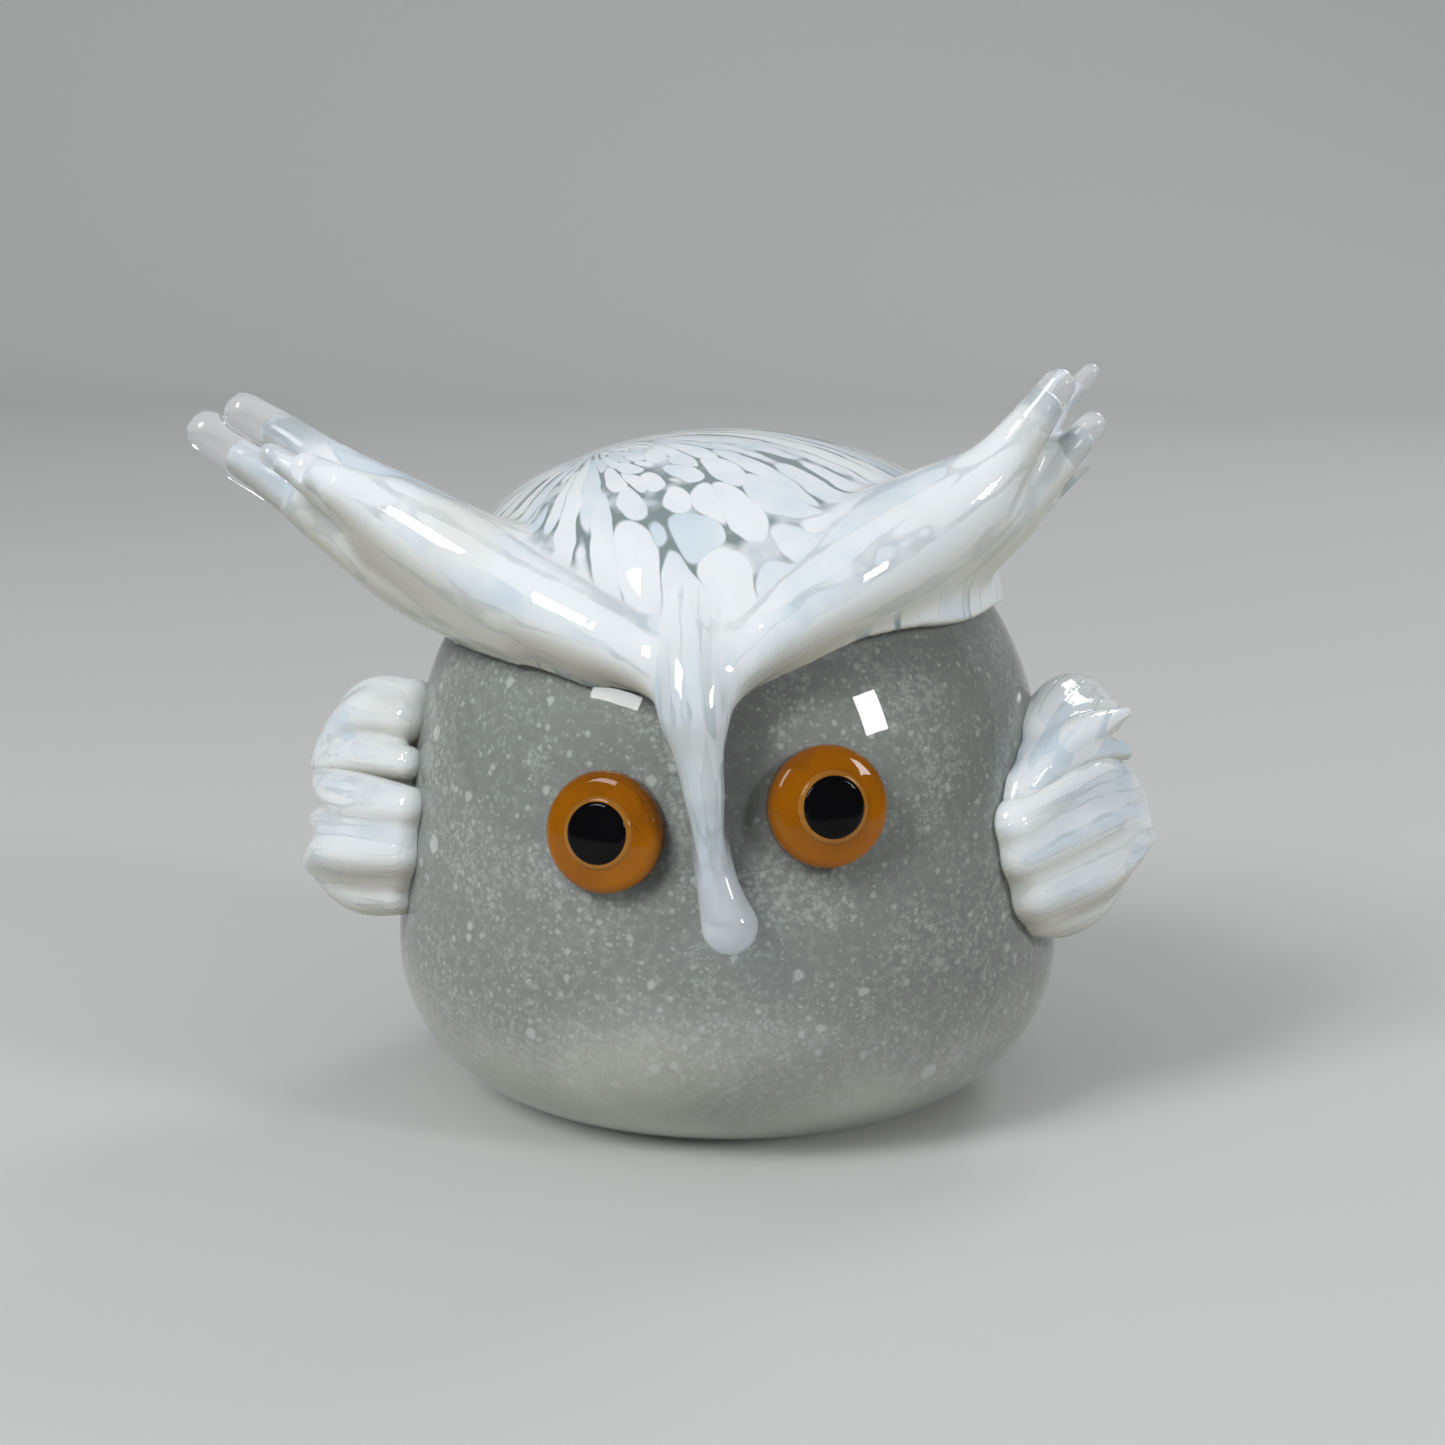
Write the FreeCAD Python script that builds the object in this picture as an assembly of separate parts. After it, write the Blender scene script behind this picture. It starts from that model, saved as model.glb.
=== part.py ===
"""Owl figurine in hot-worked glass: a blown bubble with drawn and pressed bits fused onto it.

Frame: millimetres, +Z up, origin at the centre of the flat base, the owl faces -Y.
"left" and "right" in names are as seen from in front, so left is -X.

The bubble is two skins, white-flecked glass under a clear casing, and a button underneath closes
the hole where the blowpipe came off. A white cap covers its top. Two brow tufts and a beak are
laid over the cap's front, each eye is three nested drops, and each wing is two fans of pulled
feathers, one over the other. Each bit takes the shape of what it was pressed on, so neighbours
meet face to face.
"""

import FreeCAD
import Part
import math
import os

V = FreeCAD.Vector

# Bubble, outside of the clear casing: belly, flank and dome arcs that run into each other
BUBBLE_RADIUS = 45.0
BELLY_ARC = 20.0            # rounds the flat foot into the widest ring, and is that ring's height
FLANK_ARC = 150.0
FLANK_TOP = 52.0            # height where the flank runs into the dome

# Walls of the bubble
CASING_WALL = 1.2
CASING_FLOOR = 2.4
FLECK_WALL = 2.6
FLECK_FLOOR = 3.0

# Pushed-up base, and the button that closes the blowpipe hole
DIMPLE_RADIUS = 16.0
DIMPLE_DEPTH = 1.4
PIPE_HOLE_RADIUS = 5.0
BUTTON_RADIUS = 9.0
BUTTON_EDGE = 0.25          # rounding of the button's face, which is ground flush with the foot

# White cap on the bubble's top: a flat crown arc that runs into a rounder shoulder arc
CAP_WALL = 3.8              # thickness at the very top
CROWN_ARC = 56.0
CROWN_TURN = 27.0           # degrees from the axis where the crown runs into the shoulder
SHOULDER_ARC = 22.0
SHOULDER_END = 13.0         # degrees above level where the shoulder rolls into the rim
CAP_RIM = 0.80              # height of the rim on the bubble, as a share of the bubble's height
RIM_ROLL = 0.7              # how far the rim bulges down

# Eyes: (azimuth, share of the bubble's height)
EYES = {"left": (-18.7, 0.517), "right": (18.7, 0.556)}

# The drops of an eye: (radius, how far it stands out, its depth, edge rounding, crown's rise)
IRIS = (7.6, 2.5, 4.0, 1.6, 0.7)
HALO = (4.6, 2.8, 1.6, 0.7, 0.25)
PUPIL = (3.8, 3.2, 1.3, 0.7, 0.3)

# Every strand of glass is a run of points (azimuth in degrees from the front, share of the
# bubble's height, distance of its middle from the bubble's skin, radius)
BEAK = [
    (-4.5, 0.750, 5.0, 3.4),
    (-4.0, 0.700, 5.0, 3.3),
    (-2.5, 0.630, 3.8, 2.9),
    (-1.5, 0.560, 2.4, 2.4),
    (-0.8, 0.500, 1.8, 2.3),
    (0.6, 0.440, 2.0, 2.6),
    (2.2, 0.395, 2.3, 3.5),
]

BROW_LEFT = [
    [
        (-7.0, 0.725, 2.2, 2.9),
        (-12.5, 0.745, 2.8, 3.5),
        (-21.0, 0.770, 3.5, 4.3),
        (-33.0, 0.790, 4.4, 4.9),
        (-46.0, 0.805, 6.3, 5.0),
        (-60.0, 0.816, 12.2, 4.6),
        (-66.5, 0.812, 18.6, 3.6),
        (-69.0, 0.807, 25.5, 2.6),
        (-70.5, 0.805, 28.8, 2.0),
    ],
    [
        (-49.5, 0.845, 4.1, 3.1),
        (-68.0, 0.840, 8.7, 3.6),
        (-75.5, 0.829, 15.7, 3.4),
        (-78.5, 0.818, 23.2, 2.9),
        (-81.0, 0.814, 30.9, 2.6),
        (-83.0, 0.807, 38.0, 2.6),
    ],
    [
        (-63.0, 0.812, 11.3, 2.8),
        (-71.0, 0.803, 19.8, 2.6),
        (-74.5, 0.799, 26.8, 1.8),
        (-75.5, 0.798, 32.5, 1.6),
    ],
    [
        (-42.0, 0.771, 2.2, 2.8),
        (-65.0, 0.776, 5.0, 3.7),
        (-76.5, 0.775, 13.1, 3.7),
        (-80.5, 0.780, 22.7, 3.2),
        (-82.5, 0.782, 32.3, 2.9),
        (-84.0, 0.782, 40.4, 2.8),
    ],
    [
        (-67.0, 0.770, 2.0, 2.3),
        (-79.0, 0.755, 7.5, 2.5),
        (-85.5, 0.757, 14.5, 2.4),
        (-87.0, 0.764, 20.9, 2.0),
        (-87.5, 0.765, 28.1, 1.3),
        (-87.5, 0.763, 35.1, 0.9),
    ],
]

BROW_RIGHT = [
    [
        (1.0, 0.725, 2.4, 2.6),
        (6.5, 0.760, 3.2, 3.3),
        (16.0, 0.800, 4.2, 4.4),
        (28.0, 0.830, 4.6, 5.2),
        (42.0, 0.856, 5.8, 5.5),
        (57.5, 0.867, 9.9, 4.8),
        (64.5, 0.874, 16.3, 3.6),
        (67.5, 0.879, 22.1, 2.9),
        (69.5, 0.883, 28.0, 2.2),
    ],
    [
        (32.0, 0.834, 1.9, 3.1),
        (54.0, 0.851, 3.5, 3.7),
        (68.0, 0.848, 9.0, 3.6),
        (73.5, 0.848, 16.6, 2.8),
        (77.0, 0.853, 26.1, 1.8),
    ],
    [
        (50.0, 0.835, 1.4, 2.4),
        (68.5, 0.835, 3.4, 2.7),
        (78.0, 0.836, 10.6, 1.9),
        (81.5, 0.836, 21.0, 0.9),
    ],
    [
        (65.0, 0.868, 8.5, 2.4),
        (79.0, 0.876, 20.6, 1.8),
        (83.0, 0.877, 30.1, 1.2),
    ],
    [
        (29.0, 0.884, 4.0, 2.9),
        (47.0, 0.896, 5.3, 3.8),
        (63.0, 0.891, 7.6, 3.9),
        (70.5, 0.884, 13.1, 3.1),
    ],
]

WINGS = {
    "wing_right_lower": [
        [
            (58.0, 0.485, 0.6, 3.4),
            (70.5, 0.530, 4.6, 3.7),
            (81.0, 0.510, 9.1, 2.9),
            (87.0, 0.455, 11.7, 1.5),
        ],
        [
            (59.0, 0.430, 0.6, 3.5),
            (69.5, 0.450, 4.6, 4.0),
            (79.0, 0.448, 8.6, 3.4),
            (85.0, 0.430, 11.7, 1.8),
        ],
        [
            (62.0, 0.365, 0.6, 3.7),
            (72.0, 0.370, 4.8, 4.3),
            (80.5, 0.378, 9.3, 2.8),
            (84.0, 0.398, 13.0, 1.1),
        ],
        [
            (66.0, 0.325, 0.4, 3.1),
            (74.0, 0.303, 2.4, 3.4),
            (81.0, 0.318, 5.9, 2.9),
            (85.5, 0.345, 9.1, 1.5),
        ],
    ],
    "wing_right_upper": [
        [
            (62.0, 0.530, 0.9, 2.9),
            (70.0, 0.572, 4.4, 3.0),
            (78.5, 0.587, 8.6, 2.2),
            (83.5, 0.586, 12.0, 1.0),
        ],
        [
            (73.5, 0.590, 0.6, 3.0),
            (85.0, 0.617, 3.0, 3.9),
            (92.5, 0.610, 6.6, 3.3),
            (95.0, 0.585, 9.2, 1.7),
        ],
        [
            (80.0, 0.545, 1.2, 3.2),
            (89.0, 0.565, 5.0, 3.8),
            (94.0, 0.540, 8.5, 2.2),
        ],
    ],
    "wing_left_lower": [
        [
            (-69.0, 0.480, 1.0, 3.0),
            (-76.0, 0.470, 6.0, 4.0),
            (-83.5, 0.464, 9.7, 3.5),
            (-90.0, 0.470, 11.9, 1.9),
        ],
        [
            (-70.0, 0.405, 1.0, 3.6),
            (-76.0, 0.395, 5.9, 4.6),
            (-83.5, 0.374, 9.7, 3.5),
            (-90.0, 0.336, 12.6, 1.5),
        ],
        [
            (-73.0, 0.330, 0.8, 2.9),
            (-78.0, 0.320, 4.2, 3.5),
            (-85.5, 0.315, 7.6, 3.3),
            (-90.0, 0.325, 11.4, 1.5),
        ],
    ],
    "wing_left_upper": [
        [
            (-79.0, 0.595, 1.8, 3.2),
            (-85.5, 0.588, 6.7, 3.8),
            (-90.0, 0.536, 9.8, 3.6),
            (-94.0, 0.475, 13.1, 1.8),
        ],
        [
            (-83.0, 0.625, 1.2, 2.8),
            (-90.0, 0.611, 6.1, 2.8),
            (-94.5, 0.578, 9.8, 2.3),
            (-98.5, 0.512, 12.8, 1.5),
        ],
        [
            (-86.0, 0.520, 1.0, 3.2),
            (-93.0, 0.530, 5.5, 3.4),
            (-99.0, 0.490, 9.5, 1.9),
        ],
    ],
}

TIP_FLAT = 0.25             # radius of the small flat at a strand's tip, as a share of the strand's

# Control points of a unit circle and their weights: the corners and middles of a square round it
SQUARE = [(1, 0), (1, 1), (0, 1), (-1, 1), (-1, 0), (-1, -1), (0, -1), (1, -1), (1, 0)]
SQUARE_WEIGHTS = [1 if 0 in corner else math.sqrt(0.5) for corner in SQUARE]

FOOT_RADIUS = BUBBLE_RADIUS - BELLY_ARC
FLANK_CENTRE = V(BUBBLE_RADIUS - FLANK_ARC, 0, BELLY_ARC)
LEAN = math.asin((FLANK_TOP - BELLY_ARC) / FLANK_ARC)      # the skin's lean at the flank's top
DOME_ARC = (FLANK_CENTRE.x + FLANK_ARC * math.cos(LEAN)) / math.cos(LEAN)
DOME_CENTRE = V(0, 0, FLANK_TOP - DOME_ARC * math.sin(LEAN))
BUBBLE_HEIGHT = DOME_CENTRE.z + DOME_ARC


# ---------------------------------------------------------------- shared shapes

def on_arc(centre, radius, angle):
    """Point of a half section, on an arc about centre, angle in radians above level."""
    return centre + V(math.cos(angle), 0, math.sin(angle)) * radius


def line(start, end):
    return Part.LineSegment(start, end).toShape()


def arc(centre, radius, start, end):
    """Edge of a half section, from one angle to another about centre."""
    middle = on_arc(centre, radius, (start + end) / 2)
    return Part.Arc(on_arc(centre, radius, start), middle, on_arc(centre, radius, end)).toShape()


def turned(edges):
    """Solid turned from a closed half section about the Z axis."""
    face = Part.Face(Part.Wire(edges))
    return face.revolve(V(0, 0, 0), V(0, 0, 1), 360)


def pressed_on(bit, *others):
    """The bit with the room that its neighbours take cut away, as its one largest solid."""
    for other in others:
        bit = bit.cut(other)
    return max(bit.Solids, key=lambda solid: solid.Volume)


# ---------------------------------------------------------------- the bubble's skin

def bubble_solid(inset=0.0, floor=0.0):
    """The bubble as if it were solid, with its skin moved inwards by inset, on a floor."""
    foot_centre = V(FOOT_RADIUS, 0, BELLY_ARC)
    foot_angle = math.asin((floor - BELLY_ARC) / (BELLY_ARC - inset))
    foot = on_arc(foot_centre, BELLY_ARC - inset, foot_angle)
    top = V(0, 0, BUBBLE_HEIGHT - inset)
    return turned([
        line(V(0, 0, foot.z), foot),
        arc(foot_centre, BELLY_ARC - inset, foot_angle, 0),
        arc(FLANK_CENTRE, FLANK_ARC - inset, 0, LEAN),
        arc(DOME_CENTRE, DOME_ARC - inset, LEAN, math.pi / 2),
        line(top, V(0, 0, foot.z)),
    ])


def skin(azimuth, level, lift=0.0):
    """Point lift outside the bubble's skin, and the skin's outward normal there."""
    height = level * BUBBLE_HEIGHT
    if height > FLANK_TOP:
        centre, radius = DOME_CENTRE, DOME_ARC
    elif height > BELLY_ARC:
        centre, radius = FLANK_CENTRE, FLANK_ARC
    else:
        centre, radius = V(FOOT_RADIUS, 0, BELLY_ARC), BELLY_ARC
    tilt = math.asin((height - centre.z) / radius)
    reach = centre.x + (radius + lift) * math.cos(tilt)
    turn = math.radians(azimuth)
    place = V(reach * math.sin(turn), -reach * math.cos(turn), centre.z + (radius + lift) * math.sin(tilt))
    outward = V(math.cos(tilt) * math.sin(turn), -math.cos(tilt) * math.cos(turn), math.sin(tilt))
    return place, outward


# ---------------------------------------------------------------- bubble, button and cap

def dimple():
    """The hollow pushed up into the middle of the base."""
    radius = (DIMPLE_RADIUS ** 2 + DIMPLE_DEPTH ** 2) / (2 * DIMPLE_DEPTH)
    return Part.makeSphere(radius, V(0, 0, DIMPLE_DEPTH - radius))


def pipe_hole():
    return Part.makeCylinder(PIPE_HOLE_RADIUS, CASING_FLOOR + FLECK_FLOOR)


def clear_casing():
    """The clear outer skin, with the hollow base and the blowpipe hole."""
    shell = bubble_solid().cut(bubble_solid(CASING_WALL, CASING_FLOOR))
    return pressed_on(shell, dimple(), pipe_hole())


def fleck_bubble():
    """The inner skin of white-flecked glass, lying all over the casing's inside."""
    outside = bubble_solid(CASING_WALL, CASING_FLOOR)
    inside = bubble_solid(CASING_WALL + FLECK_WALL, CASING_FLOOR + FLECK_FLOOR)
    return pressed_on(outside.cut(inside), pipe_hole())


def base_button(casing):
    """A drop that fills the blowpipe hole and the hollow base's middle, ground flat underneath."""
    corner = V(BUTTON_RADIUS - BUTTON_EDGE, 0, BUTTON_EDGE)
    top = CASING_FLOOR + FLECK_FLOOR
    button = turned([
        line(V(0, 0, 0), V(corner.x, 0, 0)),
        arc(corner, BUTTON_EDGE, -math.pi / 2, 0),
        line(V(BUTTON_RADIUS, 0, corner.z), V(BUTTON_RADIUS, 0, CASING_FLOOR)),
        line(V(BUTTON_RADIUS, 0, CASING_FLOOR), V(PIPE_HOLE_RADIUS, 0, CASING_FLOOR)),
        line(V(PIPE_HOLE_RADIUS, 0, CASING_FLOOR), V(PIPE_HOLE_RADIUS, 0, top)),
        line(V(PIPE_HOLE_RADIUS, 0, top), V(0, 0, top)),
        line(V(0, 0, top), V(0, 0, 0)),
    ])
    return pressed_on(button, casing)


def white_cap():
    """The cap: crown and shoulder arcs outside, the bubble's dome inside, a rounded rim between."""
    crown_centre = V(0, 0, BUBBLE_HEIGHT + CAP_WALL - CROWN_ARC)
    crown_end = math.radians(90 - CROWN_TURN)
    shoulder_centre = on_arc(crown_centre, CROWN_ARC - SHOULDER_ARC, crown_end)
    rim_tilt = math.asin((CAP_RIM * BUBBLE_HEIGHT - DOME_CENTRE.z) / DOME_ARC)
    inner_rim = on_arc(DOME_CENTRE, DOME_ARC, rim_tilt)
    shoulder_end = math.radians(SHOULDER_END)
    outer_rim = on_arc(shoulder_centre, SHOULDER_ARC, shoulder_end)
    rim_middle = (inner_rim + outer_rim) / 2 - V(math.sin(rim_tilt), 0, math.cos(rim_tilt)) * RIM_ROLL
    dome_top = V(0, 0, BUBBLE_HEIGHT)
    return turned([
        arc(DOME_CENTRE, DOME_ARC, rim_tilt, math.pi / 2),
        line(dome_top, dome_top + V(0, 0, CAP_WALL)),
        arc(crown_centre, CROWN_ARC, math.pi / 2, crown_end),
        arc(shoulder_centre, SHOULDER_ARC, crown_end, shoulder_end),
        Part.Arc(outer_rim, rim_middle, inner_rim).toShape(),
    ])


# ---------------------------------------------------------------- eyes

def drop(radius, bulge, depth, edge, crown):
    """A flattened drop about the Z axis: a low crown, a rounded edge and a flat back."""
    edge_centre = V(radius - edge, 0, bulge - crown - edge)
    crown_arc = (edge_centre.x ** 2 + (crown + edge) ** 2 - edge ** 2) / (2 * crown)
    crown_centre = V(0, 0, bulge - crown_arc)
    lean = math.acos(edge_centre.x / (crown_arc - edge))
    back = bulge - depth
    return turned([
        arc(crown_centre, crown_arc, math.pi / 2, lean),
        arc(edge_centre, edge, lean, 0),
        line(V(radius, 0, edge_centre.z), V(radius, 0, back)),
        line(V(radius, 0, back), V(0, 0, back)),
        line(V(0, 0, back), V(0, 0, bulge)),
    ])


def eye(azimuth, level, bubble):
    """Iris, halo and pupil, one let into the next, pressed onto the bubble."""
    place, outward = skin(azimuth, level)
    pupil = drop(*PUPIL)
    halo = drop(*HALO)
    iris = drop(*IRIS).cut(halo).cut(pupil)
    drops = {"iris": iris, "halo": halo.cut(pupil), "pupil": pupil}
    for bit in drops.values():
        bit.Placement = FreeCAD.Placement(place, FreeCAD.Rotation(V(0, 0, 1), outward))
    drops["iris"] = drops["iris"].cut(bubble)
    return {name: pressed_on(bit) for name, bit in drops.items()}


# ---------------------------------------------------------------- drawn strands

def ring(centre, way, side, radius):
    """Control points of a round section, square to the way the strand runs."""
    across = side.cross(way)
    return [centre + (side * x + across * y) * radius for x, y in SQUARE]


def strand(points):
    """A drawn bit of glass that follows a run of points and is drawn in to a round end each way."""
    places = [skin(azimuth, level, lift)[0] for azimuth, level, lift, radius in points]
    radii = [radius for azimuth, level, lift, radius in points]
    neighbours = zip(places[:1] + places[:-1], places[1:] + places[-1:])
    ways = [(after - before).normalize() for before, after in neighbours]
    start = places[0] - ways[0] * radii[0]
    end = places[-1] + ways[-1] * radii[-1]
    stations = [(start, ways[0], TIP_FLAT * radii[0]), (start, ways[0], radii[0])]
    stations += zip(places, ways, radii)
    stations += [(end, ways[-1], radii[-1]), (end, ways[-1], TIP_FLAT * radii[-1])]
    side = ways[0].cross(V(0, 0, 1))
    rings = []
    for centre, way, radius in stations:
        side = (side - way * side.dot(way)).normalize()
        rings.append(ring(centre, way, side, radius))
    spans = len(rings) - 3
    surface = Part.BSplineSurface()
    surface.buildFromPolesMultsKnots(
        rings,
        [4] + [1] * (spans - 1) + [4],
        [3, 2, 2, 2, 3],
        list(range(spans + 1)),
        list(range(5)),
        False, False, 3, 2,
        [SQUARE_WEIGHTS] * len(rings),
    )
    side_face = surface.toShape()
    tip_faces = [Part.Face(Part.Wire(edge)) for edge in side_face.Edges if edge.isClosed()]
    shell = Part.makeShell([side_face] + tip_faces)
    shell.sewShape()
    return Part.Solid(shell.Shells[0])


def bundle(strands):
    """Strands that were laid side by side and melted into one bit."""
    first, *others = [strand(points) for points in strands]
    return first.fuse(others)


# ---------------------------------------------------------------- the whole owl

def owl():
    """Every bit by name."""
    bubble = bubble_solid()
    casing = clear_casing()
    cap = white_cap()
    bits = {
        "clear_casing": casing,
        "fleck_bubble": fleck_bubble(),
        "base_button": base_button(casing),
        "white_cap": cap,
    }
    beak = strand(BEAK)
    brow_right = bundle(BROW_RIGHT)
    bits["beak"] = pressed_on(beak, bubble, cap)
    bits["brow_right"] = pressed_on(brow_right, bubble, cap, beak)
    bits["brow_left"] = pressed_on(bundle(BROW_LEFT), bubble, cap, beak, brow_right)
    for side, (azimuth, level) in EYES.items():
        for name, bit in eye(azimuth, level, bubble).items():
            bits[f"eye_{side}_{name}"] = bit
    for side in ("left", "right"):
        lower = bundle(WINGS[f"wing_{side}_lower"])
        upper = bundle(WINGS[f"wing_{side}_upper"])
        bits[f"wing_{side}_lower"] = pressed_on(lower, bubble)
        bits[f"wing_{side}_upper"] = pressed_on(upper, bubble, lower)
    return bits


os.makedirs("parts", exist_ok=True)
for name, bit in owl().items():
    bit.exportStep(f"parts/{name}.step")
    print(f"{name:20} valid {bit.isValid()}  volume {bit.Volume / 1000:7.2f} ml")
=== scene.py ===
"""Looks of an owl figurine in hot-worked glass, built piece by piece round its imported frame."""

import math

import bpy
import numpy as np
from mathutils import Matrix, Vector


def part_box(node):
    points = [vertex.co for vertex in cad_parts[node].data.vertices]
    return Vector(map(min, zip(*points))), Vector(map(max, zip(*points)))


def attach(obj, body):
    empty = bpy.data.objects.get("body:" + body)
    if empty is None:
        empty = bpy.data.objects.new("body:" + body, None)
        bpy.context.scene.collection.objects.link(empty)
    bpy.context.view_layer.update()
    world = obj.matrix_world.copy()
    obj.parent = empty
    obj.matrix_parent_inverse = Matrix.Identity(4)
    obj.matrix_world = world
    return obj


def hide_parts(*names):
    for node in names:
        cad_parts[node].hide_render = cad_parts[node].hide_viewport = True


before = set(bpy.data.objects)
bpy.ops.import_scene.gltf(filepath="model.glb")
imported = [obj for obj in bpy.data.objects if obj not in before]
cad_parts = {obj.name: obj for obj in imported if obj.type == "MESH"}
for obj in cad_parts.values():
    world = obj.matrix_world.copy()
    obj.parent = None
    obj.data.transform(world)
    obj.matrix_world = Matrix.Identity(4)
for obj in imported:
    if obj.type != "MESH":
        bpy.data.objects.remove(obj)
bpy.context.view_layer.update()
bpy.ops.object.select_all(action="DESELECT")


# ---------------------------------------------------------------- flecked bubble
# The body: a gather of smoke-grey glass rolled in white frit and blown into a squat bubble. The
# frit melted into soft flecks, thin under the crown and crowded near the foot. It stands on a
# flat ring round a pushed-up middle.

MM = 0.001
BUBBLE_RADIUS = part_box("clear_casing")[1].x
BUBBLE_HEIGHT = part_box("clear_casing")[1].z
BELLY_ARC = 20 * MM
FLANK_ARC = 150 * MM
DIMPLE_RADIUS = 16 * MM
DIMPLE_DEPTH = 1.4 * MM
CASING_WALL = 1.2 * MM
FLECK_WALL = 2.6 * MM
BUBBLE_STEPS = 160

foot_radius = BUBBLE_RADIUS - BELLY_ARC
flank_centre = Vector((BUBBLE_RADIUS - FLANK_ARC, BELLY_ARC))
# the dome's middle is on the axis and its arc runs on from the flank's: this height says where
drop = BUBBLE_HEIGHT - flank_centre.y
dome_arc = (drop ** 2 + flank_centre.x ** 2 - FLANK_ARC ** 2) / (2 * (drop - FLANK_ARC))
dome_centre = Vector((0, BUBBLE_HEIGHT - dome_arc))
lean = math.atan2(dome_centre.y - flank_centre.y, -flank_centre.x)


def on_arc(centre, radius, angle):
    return centre + Vector((math.cos(angle), math.sin(angle))) * radius


def skin(azimuth, level, lift=0.0):
    """Point lift outside the bubble at a share of its height, azimuth in degrees from the front."""
    height = level * BUBBLE_HEIGHT
    centre, radius = flank_centre, FLANK_ARC
    if height > dome_centre.y + dome_arc * math.sin(lean):
        centre, radius = dome_centre, dome_arc
    elif height < BELLY_ARC:
        centre, radius = Vector((foot_radius, BELLY_ARC)), BELLY_ARC
    tilt = math.asin((height - centre.y) / radius)
    place = on_arc(centre, radius + lift, tilt)
    turn = math.radians(azimuth)
    return Vector((place.x * math.sin(turn), -place.x * math.cos(turn), place.y))


def bubble_profile(inset):
    """Half section of the bubble from the middle of the foot to the top, moved inwards by inset."""
    foot_centre = Vector((foot_radius, BELLY_ARC))
    points = []
    for share in np.linspace(0, 1, 14)[:-1]:
        reach = share * foot_radius
        rise = DIMPLE_DEPTH * max(0.0, 1 - (reach / DIMPLE_RADIUS) ** 2)
        points.append((reach, rise + inset))
    for angle in np.linspace(-math.pi / 2, 0, 22)[:-1]:
        points.append(tuple(on_arc(foot_centre, BELLY_ARC - inset, angle)))
    for angle in np.linspace(0, lean, 22)[:-1]:
        points.append(tuple(on_arc(flank_centre, FLANK_ARC - inset, angle)))
    for angle in np.linspace(lean, math.pi / 2, 44):
        points.append(tuple(on_arc(dome_centre, dome_arc - inset, angle)))
    return points


def spun(name, profile, steps=BUBBLE_STEPS):
    """A closed form of glass turned on its axis, as on the pipe, from (reach, height) points."""
    mesh = bpy.data.meshes.new(name)
    edges = [(i, i + 1) for i in range(len(profile) - 1)]
    mesh.from_pydata([(max(reach, 0), 0, height) for reach, height in profile], edges, [])
    piece = bpy.data.objects.new(name, mesh)
    bpy.context.collection.objects.link(piece)
    bpy.ops.object.select_all(action="DESELECT")
    bpy.context.view_layer.objects.active = piece
    piece.select_set(True)
    bpy.ops.object.mode_set(mode="EDIT")
    bpy.ops.mesh.select_all(action="SELECT")
    bpy.ops.mesh.spin(steps=steps, angle=math.tau, center=(0, 0, 0), axis=(0, 0, 1))
    bpy.ops.mesh.select_all(action="SELECT")
    bpy.ops.mesh.remove_doubles(threshold=0.00001)
    bpy.ops.mesh.normals_make_consistent(inside=False)
    bpy.ops.object.mode_set(mode="OBJECT")
    bpy.ops.object.shade_smooth()
    return piece


def apply_modifier(piece, kind, **settings):
    """Adds a modifier with its settings and applies it."""
    bpy.ops.object.select_all(action="DESELECT")
    bpy.context.view_layer.objects.active = piece
    piece.select_set(True)
    modifier = piece.modifiers.new(kind.title(), kind)
    for setting, value in settings.items():
        setattr(modifier, setting, value)
    bpy.ops.object.modifier_apply(modifier=modifier.name)


def finished(piece, material, slot, *nodes):
    """Gives a piece its glass and hides the CAD nodes that it stands for; the slot is not used."""
    piece.data.materials.clear()
    piece.data.materials.append(material)
    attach(piece, "root")
    if nodes:
        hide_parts(*nodes)


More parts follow.
